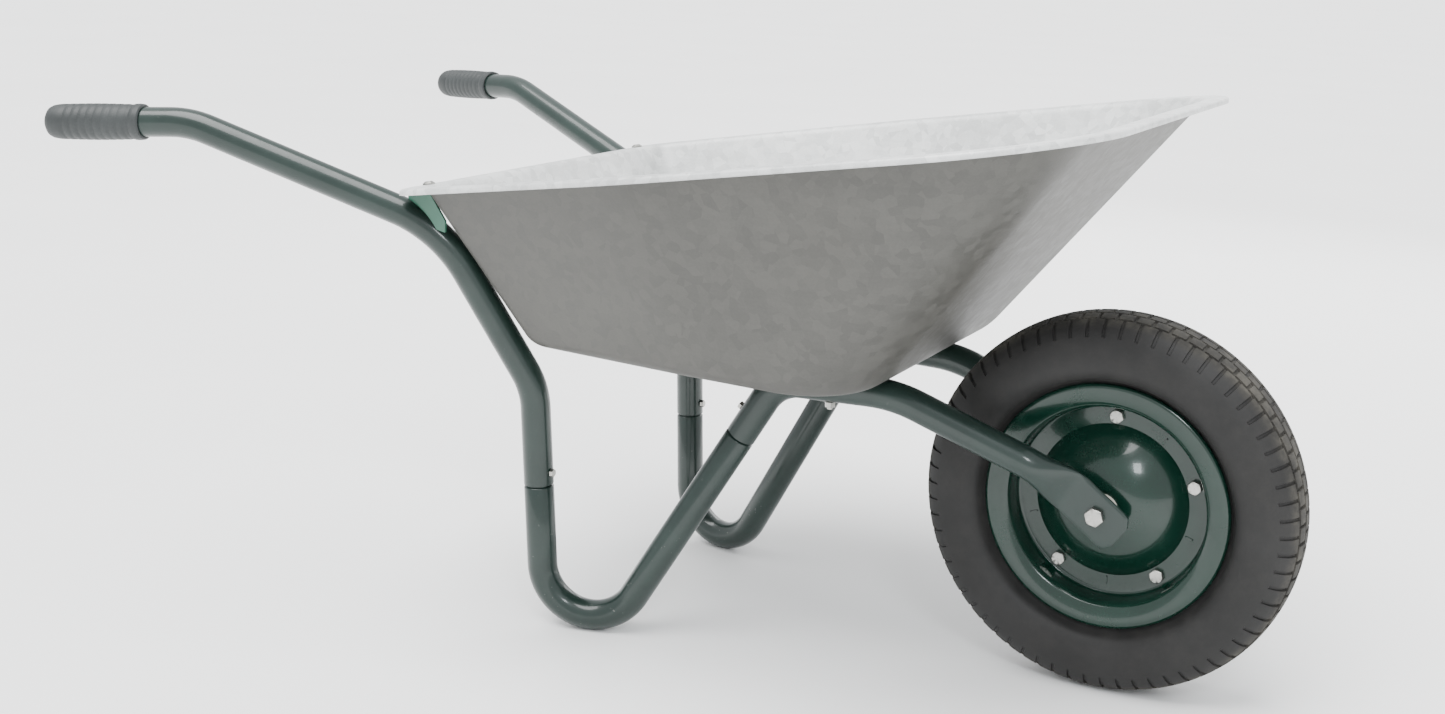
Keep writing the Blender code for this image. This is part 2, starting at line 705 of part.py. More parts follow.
# ---------------------------------------------------------------- grips
def grip(side, label):
    """A plastic grip pushed over the end of the handle, thicker in the palm and domed behind."""
    p = frame_points(side)
    ahead = (p["handle_bend"] - p["grip_end"]).normalized()
    end = p["grip_end"] - ahead * GAP
    outer = [(0.0, -0.0062), (0.0090, -0.0055), (0.0158, -0.0022), (0.0186, 0.0040),
             (0.0194, 0.0160), (0.0196, 0.0400), (0.0193, 0.0700), (0.0190, 0.0880),
             (0.0194, GRIP_LENGTH - 0.006), (0.0182, GRIP_LENGTH - 0.004)]
    inner = [(GRIP_BORE, GRIP_LENGTH - 0.004), (GRIP_BORE, -GAP), (0.0, -GAP)]
    profile = (outer + inner)[::-1]
    name = "grip_" + label
    part = turned(name, profile, 16, GRIP_PLASTIC, closed=False)
    part.matrix_world = Matrix.Translation(end) @ ahead.to_track_quat("Z", "Y").to_matrix().to_4x4()
    return part


# ---------------------------------------------------------------- assembly
tray = pan()
SIDES = ((-1, "right"), (1, "left"))
JOINT_SCREW = bolt_mesh("joint_screw", 0.0055, 0.008, 0.0036, 0.011)
PAN_BOLT = domed_bolt_mesh("pan_bolt", 0.006, 0.0075, 0.0034, PAN_SHEET + 2 * TUBE_RADIUS + 0.0085)
RIM_TAB_BOLT = domed_bolt_mesh("flange_bolt", 0.006, 0.0066, 0.0032, PAN_SHEET + TAB_THICK + 0.0075)
SMALL_NUT = nut_mesh("small_nut", 0.006, 0.010, 0.0050)

for side, label in SIDES:
    p = frame_points(side)
    handle, clearance = handle_tube(side, label)
    loop = leg_loop(side, label)
    fork = fork_tube(side, label)
    grip(side, label)

    leg_run = (p["foot"] - p["leg_bend"]).normalized()
    forward = Vector((1, 0, 0))
    forward = (forward - leg_run * leg_run.dot(forward)).normalized()
    seat = along(p["leg_bend"], p["foot"], LEG_SCREW_Z) + forward * TUBE_RADIUS
    joint_screw("leg_screw_" + label, (handle, loop), seat, forward)
    outward = Vector((0, side, 0))
    peephole = along(p["leg_bend"], p["foot"], LEG_SCREW_Z + 0.006)
    boolean(handle, hole("leg_peephole_" + label, 0.003, peephole,
                         peephole + outward * 2 * TUBE_RADIUS))

    fork_run = (p["under_pan"] - p["foot"]).normalized()
    back = Vector((-1, 0, 0))
    back = (back - fork_run * fork_run.dot(back)).normalized()
    seat = along(p["foot"], p["under_pan"], FORK_SCREW_Z) + back * TUBE_RADIUS
    joint_screw("fork_screw_" + label, (fork, loop), seat, back)

    middle = p["under_pan"].lerp(p["fork_bend"], 0.46)
    seat = Vector((middle.x, middle.y, PAN_FLOOR_Z + PAN_SHEET))
    up = Vector((0, 0, 1))
    drop = seat.z - (middle.z - TUBE_RADIUS)
    cross_holes((tray, fork), "pan_front_" + label, 0.003, seat, up, drop + 0.006)
    bolt_and_nut("pan_front_" + label, PAN_BOLT, SMALL_NUT, seat, up, drop)

    bracket, seat, up = pan_bracket(side, label, clearance)
    cross_holes((tray, bracket), "pan_rear_" + label, 0.003, seat, up, 0.010)
    bolt_and_nut("pan_rear_" + label, RIM_TAB_BOLT, SMALL_NUT, seat, up, PAN_SHEET + GAP + TAB_THICK)

tyre()
inner_tube()
halves = [rim_half(side, label) for side, label in SIDES]
rim_fasteners(halves)
valve(halves[1])
hub_and_axle()
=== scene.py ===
# %% [markdown]
# # A garden wheelbarrow, dressed for the camera
# The barrow's frame is already modelled: 47 solid nodes on two bodies, `frame` and
# `wheel`. This lesson loads it, makes finer versions of the pieces that show, and paints
# everything. Lengths are in metres. +X points from the grips to the wheel, the right side is
# at -Y, and the ground is Z = 0.

# %% Load the imported barrow
import json
import math

import bmesh
import bpy
from mathutils import Matrix, Quaternion, Vector


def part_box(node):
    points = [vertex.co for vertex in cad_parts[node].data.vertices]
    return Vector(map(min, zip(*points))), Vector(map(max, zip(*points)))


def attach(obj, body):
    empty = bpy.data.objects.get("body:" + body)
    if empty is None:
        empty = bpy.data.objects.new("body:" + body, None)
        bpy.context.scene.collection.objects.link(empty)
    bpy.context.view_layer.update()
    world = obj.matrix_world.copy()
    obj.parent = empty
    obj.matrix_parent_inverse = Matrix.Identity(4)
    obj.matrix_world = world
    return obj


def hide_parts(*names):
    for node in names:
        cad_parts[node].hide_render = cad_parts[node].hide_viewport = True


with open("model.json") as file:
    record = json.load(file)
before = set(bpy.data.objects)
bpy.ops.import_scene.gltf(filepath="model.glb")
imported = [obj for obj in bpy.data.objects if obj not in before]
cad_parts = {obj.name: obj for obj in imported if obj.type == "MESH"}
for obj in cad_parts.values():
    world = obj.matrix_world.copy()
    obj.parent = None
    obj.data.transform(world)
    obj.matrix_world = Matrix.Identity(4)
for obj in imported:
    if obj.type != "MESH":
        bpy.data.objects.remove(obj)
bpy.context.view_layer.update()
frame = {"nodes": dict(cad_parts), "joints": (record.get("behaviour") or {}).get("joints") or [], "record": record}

# %% [markdown]
# ## Where things are
# The wheel's joint gives the axle, and every other place is measured back from it, the way a
# fitter would: along the barrow, out to the side, and up from the ground.

# %% Measure from the axle
AXLE = Vector(frame["joints"][0]["pos_m"])
SIDES = (("right", -1), ("left", 1))


def from_axle(x, y, z, side=1):
    """A point x ahead of the axle, y out to one side and z above the ground."""
    return Vector((AXLE.x + x, side * y, z))


print("axle at", tuple(round(v, 4) for v in AXLE))

# %% [markdown]
# ## Camera
# The camera stands to the right of the wheel and a little above the pan, and looks down at
# nine degrees. Its slight roll and its shifted frame keep the tall wheel and the far handle
# where the composition wants them. It comes first, because everything else is judged from it.

# %% Camera
CAMERA_AT = from_axle(0.4418, -1.7086, 0.7540)
CAMERA_AZIMUTH = math.radians(24.59)
CAMERA_ELEVATION = math.radians(9.21)
CAMERA_ROLL = math.radians(2.27)


def make_camera():
    """A camera aimed by azimuth, elevation and roll."""
    a, e, roll = CAMERA_AZIMUTH, CAMERA_ELEVATION, CAMERA_ROLL
    ahead = Vector((-math.sin(a) * math.cos(e), math.cos(a) * math.cos(e), -math.sin(e)))
    right = Vector((math.cos(a), math.sin(a), 0.0))
    up = right.cross(ahead)
    tilted_right = right * math.cos(roll) + up * math.sin(roll)
    tilted_up = up * math.cos(roll) - right * math.sin(roll)
    camera = bpy.data.objects.new("camera", bpy.data.cameras.new("camera"))
    axes = Matrix((tilted_right, tilted_up, -ahead)).transposed()
    camera.matrix_world = Matrix.Translation(CAMERA_AT) @ axes.to_4x4()
    camera.data.sensor_width = 36.0
    camera.data.lens = 44.02
    camera.data.shift_x = -0.068
    camera.data.shift_y = -0.0955
    bpy.context.scene.collection.objects.link(camera)
    bpy.context.scene.camera = camera
    return camera


make_camera()
print("camera", round((CAMERA_AT - AXLE).length, 3), "m from the axle")

# %% [markdown]
# ## Shader maths
# A finish is mostly arithmetic on noise. This small class wraps a shader socket, so that
# `1 - mask` or `a * 0.3 + b` builds the Math nodes. `Finish.node` makes any other node from
# its type, its settings and its inputs.

# %% Sockets that do sums
class Value:
    """A number that varies over the surface."""

    def __init__(self, finish, socket):
        self.finish = finish
        self.socket = socket

    def _sum(self, operation, first, second=None):
        inputs = [first] if second is None else [first, second]
        return self.finish.node("ShaderNodeMath", {"operation": operation}, dict(enumerate(inputs)))

    def __add__(self, other):
        return self._sum("ADD", self, other)

    def __sub__(self, other):
        return self._sum("SUBTRACT", self, other)

    def __mul__(self, other):
        return self._sum("MULTIPLY", self, other)

    def __truediv__(self, other):
        return self._sum("DIVIDE", self, other)

    def __pow__(self, other):
        return self._sum("POWER", self, other)

    def __radd__(self, other):
        return self._sum("ADD", other, self)

    def __rsub__(self, other):
        return self._sum("SUBTRACT", other, self)

    def __rmul__(self, other):
        return self._sum("MULTIPLY", other, self)

    def step(self, low, high):
        """0 below low, 1 above high, and smooth between."""
        inputs = {"Value": self, "From Min": low, "From Max": high}
        return self.finish.node("ShaderNodeMapRange", {"interpolation_type": "SMOOTHSTEP"}, inputs)


class Finish:
    """A material with one Principled shader and helpers that add nodes to it."""

    def __init__(self, name, **uniform):
        self.material = bpy.data.materials.new(name)
        self.material.use_nodes = True
        self.tree = self.material.node_tree
        self.shader = self.tree.nodes["Principled BSDF"]
        for socket, value in uniform.items():
            self.shader.inputs[socket.replace("_", " ")].default_value = value

    def node(self, kind, settings=None, inputs=None, output=0):
        """Makes a node, sets its settings, then fills or links its inputs."""
        made = self.tree.nodes.new(kind)
        for name, value in (settings or {}).items():
            setattr(made, name, value)
        for name, value in (inputs or {}).items():
            if isinstance(value, Value):
                self.tree.links.new(value.socket, made.inputs[name])
            else:
                made.inputs[name].default_value = value
        return Value(self, made.outputs[output])

    def place(self):
        """The point on the object, which stays with the piece when it moves."""
        return self.node("ShaderNodeTexCoord", output="Object")

    def stretched(self, scale):
        """The place, scaled differently along each axis."""
        inputs = {"Vector": self.place(), "Scale": scale}
        return self.node("ShaderNodeMapping", {}, inputs)

    def noise(self, scale, detail=4.0, roughness=0.55, vector=None):
        """Soft cloudy noise around 0.5."""
        inputs = {"Vector": vector or self.place(), "Scale": scale, "Detail": detail,
                  "Roughness": roughness}
        return self.node("ShaderNodeTexNoise", {}, inputs)

    def cells(self, scale, feature="F1", output="Color", vector=None):
        """Crystals or specks."""
        inputs = {"Vector": vector or self.place(), "Scale": scale}
        return self.node("ShaderNodeTexVoronoi", {"feature": feature}, inputs, output)

    def mix(self, amount, first, second):
        """Mixes two colours by an amount."""
        inputs = {0: amount, 6: first, 7: second}
        return self.node("ShaderNodeMix", {"data_type": "RGBA"}, inputs, 2)

    def bump(self, height, distance, strength=1.0, normal=None):
        """Turns a height into a surface direction."""
        inputs = {"Height": height, "Distance": distance, "Strength": strength}
        if normal:
            inputs["Normal"] = normal
        return self.node("ShaderNodeBump", {}, inputs)

    def height_above_ground(self):
        """World height, for dirt that gathers low down."""
        split = self.tree.nodes.new("ShaderNodeSeparateXYZ")
        self.tree.links.new(self.place().socket, split.inputs[0])
        return Value(self, split.outputs["Z"])

    def paint(self, **sockets):
        """Links what varies to the shader's own sockets."""
        for name, value in sockets.items():
            self.tree.links.new(value.socket, self.shader.inputs[name.replace("_", " ")])
        return self.material


print("shader helpers ready")

# %% [markdown]
# ## Galvanised sheet
# Zinc freezes on hot-dipped sheet in flat crystals, the spangle. Each crystal reflects a
# little differently, so Voronoi cells drive colour and roughness, and a broad noise dulls it
# in clouds. The sheet was drawn in a press, so faint rub marks run round the walls. The pan's
# outside takes a far darker copy of the same zinc: painted shade on its undercut walls.

# %% Galvanised finish
def galvanised_finish(name, dark, light, haze_tint, metallic):
    """Dull drawn zinc with a fine spangle, rub marks and a slight warm haze."""
    f = Finish(name, Metallic=metallic, Specular_IOR_Level=0.5)
    crystal = f.cells(95.0)
    grain = f.node("ShaderNodeSeparateColor", {}, {"Color": crystal})
    clouds = f.noise(5.5, 5.0)
    fine = f.noise(420.0, 2.0)
    rubs = f.noise(60.0, 6.0, 0.7, f.stretched((0.35, 0.35, 3.5)))
    tone = grain * 0.22 + clouds * 0.45 + fine * 0.18 + rubs * 0.25
    colour = f.mix(tone.step(0.25, 0.85), dark, light)
    haze = f.noise(2.2, 3.0).step(0.45, 0.75)
    colour = f.mix(haze * 0.35, colour, haze_tint)
    roughness = 0.36 + grain * 0.10 + rubs * 0.16 + clouds * 0.10
    height = rubs * 0.5 + fine * 0.3 + grain * 0.2
    return f.paint(Base_Color=colour, Roughness=roughness, Normal=f.bump(height, 0.00035, 0.35))


# The outside copy is much darker than the zinc itself: painted shade for the pan's undercut walls, which face away
# from the daylight.
GALVANISED_PAINTED_SHADE = galvanised_finish("galvanised_outside_painted_shade", (0.050, 0.049, 0.044, 1), (0.088, 0.086, 0.078, 1),
                               (0.076, 0.069, 0.057, 1), 0.12)
GALVANISED_INSIDE = galvanised_finish("galvanised_inside", (0.46, 0.47, 0.465, 1), (0.78, 0.79, 0.78, 1),
                                      (0.68, 0.67, 0.64, 1), 0.30)
print("made", GALVANISED_PAINTED_SHADE.name, GALVANISED_INSIDE.name)

# %% [markdown]
# ## Green gloss paint
# The frame is dipped or sprayed dark green. Thick gloss paint has orange peel, a slow ripple
# that breaks up reflections, and it dulls where it is handled and near the ground, where grit
# scuffs it down towards a grey primer.

# %% Paint finish
def paint_finish(name, deep, light, roughness, scuff):
    """Gloss paint with orange peel, a dusty film and small scuffs."""
    f = Finish(name, Coat_Roughness=0.06, Specular_IOR_Level=0.32)
    film = f.noise(14.0, 5.0).step(0.35, 0.80)
    specks = f.noise(900.0, 2.0).step(0.66, 0.76)
    colour = f.mix(film, deep, light)
    low = 1 - f.height_above_ground().step(0.01, 0.16)
    chips = f.noise(160.0, 4.0, 0.65).step(0.66, 0.72)
    worn = (low * 0.9 + 0.06) * chips * scuff
    colour = f.mix(worn, colour, (0.20, 0.205, 0.19, 1))
    dusty = f.noise(38.0, 6.0, 0.7).step(0.42, 0.9)
    colour = f.mix(dusty * 0.16 + specks * 0.05, colour, (0.045, 0.062, 0.054, 1))
    rough = roughness + film * 0.10 + dusty * 0.16 + worn * 0.35
    coat = 0.42 - dusty * 0.22 - worn * 0.2
    peel = f.noise(210.0, 2.0)
    normal = f.bump(peel, 0.0004, 0.10)
    return f.paint(Base_Color=colour, Roughness=rough, Coat_Weight=coat, Normal=normal)


FRAME_PAINT = paint_finish("frame_paint", (0.0060, 0.0165, 0.0130, 1), (0.0110, 0.0255, 0.0205, 1), 0.30, 1.0)
WHEEL_PAINT = paint_finish("wheel_paint", (0.0018, 0.0170, 0.0105, 1), (0.0034, 0.0250, 0.0160, 1), 0.16, 0.3)
# The brackets' green is the frame's paint made much lighter: a painted highlight where they face the light.
BRACKET_PAINT_PAINTED_LIGHT = paint_finish("bracket_paint_painted_light", (0.035, 0.130, 0.085, 1), (0.055, 0.165, 0.110, 1), 0.3, 0.4)
print("made", FRAME_PAINT.name, WHEEL_PAINT.name, BRACKET_PAINT_PAINTED_LIGHT.name)

# %% [markdown]
# ## Rubber, grip and zinc
# Tyre rubber is a warm black that dries grey-brown, most of all on the tread, where dust
# settles. The grips are grey moulded plastic with a matt texture. Zinc plate is bright, a
# little blue or yellow, and brushed by handling.

# %% Rubber finishes
def tyre_finish():
    """Black rubber, dusted on the tread and bloomed on the sidewall."""
    f = Finish("tyre_rubber", Specular_IOR_Level=0.30)
    split = f.tree.nodes.new("ShaderNodeSeparateXYZ")
    f.tree.links.new(f.place().socket, split.inputs[0])
    x, z = (Value(f, split.outputs[axis]) for axis in ("X", "Z"))
    x, z = x - AXLE.x, z - AXLE.z
    reach = (x * x + z * z) ** 0.5
    tread = reach.step(0.1835, 0.1925)
    clouds = f.noise(9.0, 5.0)
    grain = f.noise(520.0, 3.0, 0.6)
    dust = f.noise(34.0, 6.0, 0.7).step(0.36, 0.74)
    colour = f.mix(clouds.step(0.3, 0.75), (0.0100, 0.0097, 0.0095, 1), (0.0185, 0.0180, 0.0178, 1))
    colour = f.mix(tread * (0.12 + dust * 0.50), colour, (0.110, 0.102, 0.085, 1))
    colour = f.mix(dust * (1 - tread) * 0.14, colour, (0.060, 0.056, 0.052, 1))
    rough = 0.50 + tread * 0.30 + grain * 0.10 + dust * 0.10
    height = grain * 0.6 + clouds * 0.4
    return f.paint(Base_Color=colour, Roughness=rough, Normal=f.bump(height, 0.0005, 0.25))


def plain_rubber(name, dark, light, roughness, grain_scale):
    """Moulded rubber or plastic with a fine cast grain."""
    f = Finish(name, Specular_IOR_Level=0.45)
    clouds = f.noise(26.0, 4.0)
    grain = f.noise(grain_scale, 3.0, 0.6)
    pits = f.cells(grain_scale * 0.8, "F1", "Distance")
    colour = f.mix((clouds * 0.7 + grain * 0.4).step(0.3, 0.8), dark, light)
    rough = roughness + clouds * 0.16 + grain * 0.06
    return f.paint(Base_Color=colour, Roughness=rough, Normal=f.bump(pits * 0.7 + grain * 0.3, 0.0004, 0.3))


TYRE_RUBBER = tyre_finish()
TUBE_RUBBER = plain_rubber("tube_rubber", (0.014, 0.014, 0.014, 1), (0.030, 0.030, 0.030, 1), 0.5, 500.0)
GRIP_PLASTIC = plain_rubber("grip_plastic", (0.018, 0.021, 0.021, 1), (0.036, 0.041, 0.041, 1), 0.42, 700.0)
NYLON = plain_rubber("nylon", (0.60, 0.57, 0.50, 1), (0.74, 0.72, 0.66, 1), 0.35, 400.0)
print("made", TYRE_RUBBER.name, GRIP_PLASTIC.name)

# %% Zinc finish
def zinc_finish():
    """Bright plating with a faint yellow cast, brushed by handling."""
    f = Finish("zinc_plate", Metallic=1.0)
    clouds = f.noise(60.0, 4.0)
    brushed = f.noise(700.0, 3.0, 0.6)
    colour = f.mix(clouds.step(0.3, 0.7), (0.32, 0.32, 0.30, 1), (0.48, 0.47, 0.44, 1))
    rough = 0.20 + clouds * 0.12 + brushed * 0.12
    return f.paint(Base_Color=colour, Roughness=rough, Normal=f.bump(brushed, 0.0002, 0.2))


ZINC = zinc_finish()
print("made", ZINC.name)

# %% [markdown]
# ## Making and placing pieces
# Each finer piece stands for its CAD node, rides on the same body and gets its finish. One
# helper does that bookkeeping.

# %% Dress a piece
def dress(piece, material, body, slot, *nodes):
    """Gives a piece its finish, its body and the nodes it stands for."""
    piece.data.materials.clear()
    piece.data.materials.append(material)
    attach(piece, body)
    if nodes:
        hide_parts(*nodes)
    return piece


def smooth_object(name, mesh, angle=35):
    """Links a mesh, smooth but for edges sharper than the angle."""
    mesh.shade_smooth()
    mesh.set_sharp_from_angle(angle=math.radians(angle))
    piece = bpy.data.objects.new(name, mesh)
    bpy.context.scene.collection.objects.link(piece)
    return piece


def mesh_of(name, build):
    """A mesh filled in by build(bm), with its faces turned outwards."""
    bm = bmesh.new()
    build(bm)
    bmesh.ops.recalc_face_normals(bm, faces=bm.faces)
    mesh = bpy.data.meshes.new(name)
    bm.to_mesh(mesh)
    bm.free()
    return mesh


def skin(bm, rings, caps=True, loop=False):
    """Quads between rings of equal length, with capped ends or joined into a loop."""
    rows = [[bm.verts.new(p) for p in ring] for ring in rings]
    pairs = list(zip(rows, rows[1:]))
    if loop:
        pairs.append((rows[-1], rows[0]))
    for first, second in pairs:
        for i in range(len(first)):
            j = (i + 1) % len(first)
            bm.faces.new((first[i], first[j], second[j], second[i]))
    if caps and not loop:
        bm.faces.new(rows[0])
        bm.faces.new(rows[-1])


print("dressing helpers ready")

# %% [markdown]
# ## Bent tubes
# A bender leaves straight runs and clean arcs. `bent_path` rounds each corner of a route with
# its own radius, in steps of three degrees, and rings of quads sweep the tube along it.

# %% Route of a bent tube
BEND_STEP = math.radians(3)


def bent_path(corners, radii):
    """Straight runs between corners, joined by arcs."""
    points = [corners[0]]
    for before, corner, after, radius in zip(corners, corners[1:], corners[2:], radii):
        incoming = (corner - before).normalized()
        outgoing = (after - corner).normalized()
        turn = incoming.angle(outgoing)
        if radius == 0.0 or turn < 0.01:
            points.append(corner)
            continue
        start = corner - incoming * radius * math.tan(turn / 2)
        inward = (outgoing - incoming * math.cos(turn)).normalized()
        steps = math.ceil(turn / BEND_STEP)
        for i in range(steps + 1):
            a = turn * i / steps
            points.append(start + incoming * radius * math.sin(a) + inward * radius * (1 - math.cos(a)))
    points.append(corners[-1])
    return points


def along(start, end, z):
    """The point of a straight run at a height."""
    return start + (end - start) * (z - start.z) / (end.z - start.z)


# %% Tube along a route
TUBE_RADIUS = 0.016
TUBE_SIDES = 28


def cross_frames(points):
    """A direction along, across and up the path at each point, with no twist."""
    frames = []
    across = None
    for i, point in enumerate(points):
        ahead = (points[min(i + 1, len(points) - 1)] - points[max(i - 1, 0)]).normalized()
        across = across or ahead.orthogonal()
        across = (across - ahead * across.dot(ahead)).normalized()
        frames.append((point, across, ahead.cross(across)))
    return frames


def tube_rings(points, radii):
    """Round sections along the path."""
    rings = []
    for (point, across, up), radius in zip(cross_frames(points), radii):
        ring = []
        for k in range(TUBE_SIDES):
            a = 2 * math.pi * k / TUBE_SIDES
            ring.append(point + (across * math.cos(a) + up * math.sin(a)) * radius)
        rings.append(ring)
    return rings


def hollow_end(rings, points, wall):
    """Turns the last ring into an open tube end: a rounded lip and a short bore."""
    ahead = (points[-1] - points[-2]).normalized()
    centre, last = points[-1], rings[-1]
    lip = [centre + (q - centre) * (1 - 0.35 * wall / TUBE_RADIUS) + ahead * wall * 0.3 for q in last]
    bore = [centre + (q - centre) * (1 - wall / TUBE_RADIUS) for q in last]
    deep = [q - ahead * 0.03 for q in bore]
    return rings + [lip, bore, deep]


print("tube helpers ready")

# %% [markdown]
# ## The frame's route
# Each side is three tubes: a handle tube from the grip to the leg, a loop that is the foot,
# and a fork tube that runs under the pan to the axle. The corners are where the straight runs
# would meet. The two sides mirror each other.

# %% Corners of the frame
def route(side):
    """The corners of one side's tubes."""
    return {
        "grip_end": from_axle(-1.0865, 0.3436, 0.5225, side),
        "handle_bend": from_axle(-0.940, 0.300, 0.530, side),
        "pan_bend": from_axle(-0.676, 0.217, 0.433, side),
        "leg_bend": from_axle(-0.590, 0.169, 0.263, side),
        "foot": from_axle(-0.571, 0.160, -0.115, side),
        "under_pan": from_axle(-0.333, 0.106, 0.2951, side),
        "fork_bend": from_axle(-0.208, 0.093, 0.2951, side),
        "tab_start": from_axle(-0.065, 0.079, 0.2415, side),
        "tab_bend": from_axle(-0.028, 0.061, 0.2156, side),
        "tab_end": from_axle(0.018, 0.061, 0.1817, side),
    }


HANDLE_END_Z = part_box("handle_tube_right")[0].z + 0.0009
FORK_END_Z = 0.232
print("handle tubes end at z =", round(HANDLE_END_Z, 4))

# %% [markdown]
# ## Handle tubes and foot loops
# The foot loop's ends are swaged down to plug into the tubes above, so a thin groove shows at
# each joint. The sweep gives every ring its own radius, which draws the shoulder.

# %% Handle tubes
TUBE_WALL = 0.0015


def handle_tube(side, label):
    """From inside the grip to the open end above the foot."""
    p = route(side)
    end = along(p["leg_bend"], p["foot"], HANDLE_END_Z)
    corners = [p["grip_end"], p["handle_bend"], p["pan_bend"], p["leg_bend"], end]
    points = bent_path(corners, [0.110, 0.140, 0.090])
    rings = tube_rings(points, [TUBE_RADIUS] * len(points))
    rings = hollow_end(rings, points, TUBE_WALL)
    tube = smooth_object("handle_" + label, mesh_of("handle", lambda bm: skin(bm, rings)))
    return dress(tube, FRAME_PAINT, "frame", "green_paint", "handle_tube_" + label)


handles = [handle_tube(side, label) for label, side in SIDES]
print("handle tubes:", [len(tube.data.vertices) for tube in handles], "vertices")

# %% Foot loops
SPIGOT_RADIUS = 0.0138
SPIGOT_LENGTH = 0.040


def shoulder(end, ahead):
    """Points and radii where a tube is swaged down to a spigot, from the body outwards."""
    steps = ((-0.0030, TUBE_RADIUS), (-0.0022, TUBE_RADIUS * 0.97), (-0.0016, SPIGOT_RADIUS * 1.03),
             (-0.0012, SPIGOT_RADIUS), (SPIGOT_LENGTH, SPIGOT_RADIUS))
    return [end + ahead * s for s, _ in steps], [r for _, r in steps]


def foot_loop(side, label):
    """The U of tube that the barrow stands on."""
    p = route(side)
    leg_end = along(p["leg_bend"], p["foot"], HANDLE_END_Z - 0.0003)
    fork_end = along(p["foot"], p["under_pan"], FORK_END_Z - 0.0003)
    up_leg = (p["leg_bend"] - p["foot"]).normalized()
    up_fork = (p["under_pan"] - p["foot"]).normalized()
    head, head_radii = shoulder(leg_end, up_leg)
    tail, tail_radii = shoulder(fork_end, up_fork)
    bend = bent_path([head[0], p["foot"], tail[0]], [0.0560])[1:-1]
    points = head[::-1] + bend + tail
    radii = head_radii[::-1] + [TUBE_RADIUS] * len(bend) + tail_radii
    rings = tube_rings(points, radii)
    loop = smooth_object("foot_" + label, mesh_of("foot", lambda bm: skin(bm, rings)))
    return dress(loop, FRAME_PAINT, "frame", "green_paint", "leg_loop_" + label)


feet = [foot_loop(side, label) for label, side in SIDES]
print("lowest point of the feet:", round(min(v.co.z for v in feet[0].data.vertices), 5))

# %% [markdown]
# ## Fork tubes
# The tube stays round under the pan and is pressed flat at the axle, where it carries the
# bolt. A loft does this: each section slides from a circle to a flat tab, and the tab's end
# is rounded off in plan.

# %% Fork sections
TAB_HALF_THICK = 0.003
TAB_SPREAD = 1.42
NOSE = 0.0085
TAB_CORNER = 0.010


def fork_section(point, ahead, side, flat, trim):
    """A section between a circle (flat = 0) and a pressed tab (flat = 1), narrowed by trim."""
    across = Vector((0.0, side, 0.0))
    across = (across - ahead * across.dot(ahead)).normalized()
    rise = ahead.cross(across)
    thick = TUBE_RADIUS + (TAB_HALF_THICK - TUBE_RADIUS) * flat
    wide = TUBE_RADIUS * (1 + (TAB_SPREAD - 1) * flat) - trim
    power = 1 - 0.72 * flat
    ring = []
    for k in range(TUBE_SIDES):
        a = 2 * math.pi * (k + 0.5) / TUBE_SIDES
        c = math.cos(a)
        sway = math.copysign(abs(c) ** power, c) * thick
        ring.append(point + across * sway + rise * math.sin(a) * wide)
    return ring


def evenly(points, spacing):
    """The same path with points added on its long runs."""
    spaced = [points[0]]
    for a, b in zip(points, points[1:]):
        count = max(1, math.ceil((b - a).length / spacing))
        spaced += [a.lerp(b, i / count) for i in range(1, count + 1)]
    return spaced


def ease(t):
    """0 to 1 with soft ends."""
    t = min(max(t, 0.0), 1.0)
    return t * t * (3 - 2 * t)


# %% Fork tubes
def fork_tube(side, label):
    """From the foot's rising end, under the pan, to the axle tab."""
    p = route(side)
    start = along(p["foot"], p["under_pan"], FORK_END_Z)
    nose = p["tab_end"] + (p["tab_end"] - p["tab_bend"]).normalized() * NOSE
    corners = [start, p["under_pan"], p["fork_bend"], p["tab_start"], p["tab_bend"], nose]
    points = evenly(bent_path(corners, [0.045, 0.150, 0.055, 0.035]), 0.006)
    rings = []
    for i, point in enumerate(points):
        ahead = (points[min(i + 1, len(points) - 1)] - points[max(i - 1, 0)]).normalized()
        flat = ease((point.x - p["tab_start"].x) / (p["tab_bend"].x - p["tab_start"].x))
        left = (nose - point).length
        trim = TAB_CORNER - math.sqrt(max(TAB_CORNER**2 - max(TAB_CORNER - left, 0.0) ** 2, 0.0))
        rings.append(fork_section(point, ahead, side, flat, trim))
    tube = smooth_object("fork_" + label, mesh_of("fork", lambda bm: skin(bm, rings)), 50)
    return dress(tube, FRAME_PAINT, "frame", "green_paint", "fork_tube_" + label)


forks = [fork_tube(side, label) for label, side in SIDES]
print("fork tubes:", [len(tube.data.polygons) for tube in forks], "faces")

# %% [markdown]
# ## Grips
# A moulded grip is pushed over each handle end. It has a domed end, a palm that swells a
# little, shallow grooves to hold on to, and a collar. Turning a profile about the handle's own
# direction makes it.

# %% Turned pieces
def turned_rings(profile, steps, centre, axis, start=0.0):
    """Rings of a (radius, distance) profile about an axis."""
    across = axis.orthogonal().normalized()
    up = axis.cross(across)
    rings = []
    for i in range(steps):
        a = start + 2 * math.pi * i / steps
        out = across * math.cos(a) + up * math.sin(a)
        rings.append([centre + out * radius + axis * distance for radius, distance in profile])
    return rings


def turned(name, profile, steps, centre, axis, angle=35):
    """A closed profile turned into a ring-shaped piece."""
    rings = turned_rings(profile, steps, centre, axis)
    return smooth_object(name, mesh_of(name, lambda bm: skin(bm, rings, loop=True)), angle)


# %% Grips
GRIP_LENGTH = 0.104
GRIP_GROOVES = 9
RIB_WIDTH = 0.0050
RIB_HEIGHT = 0.0006


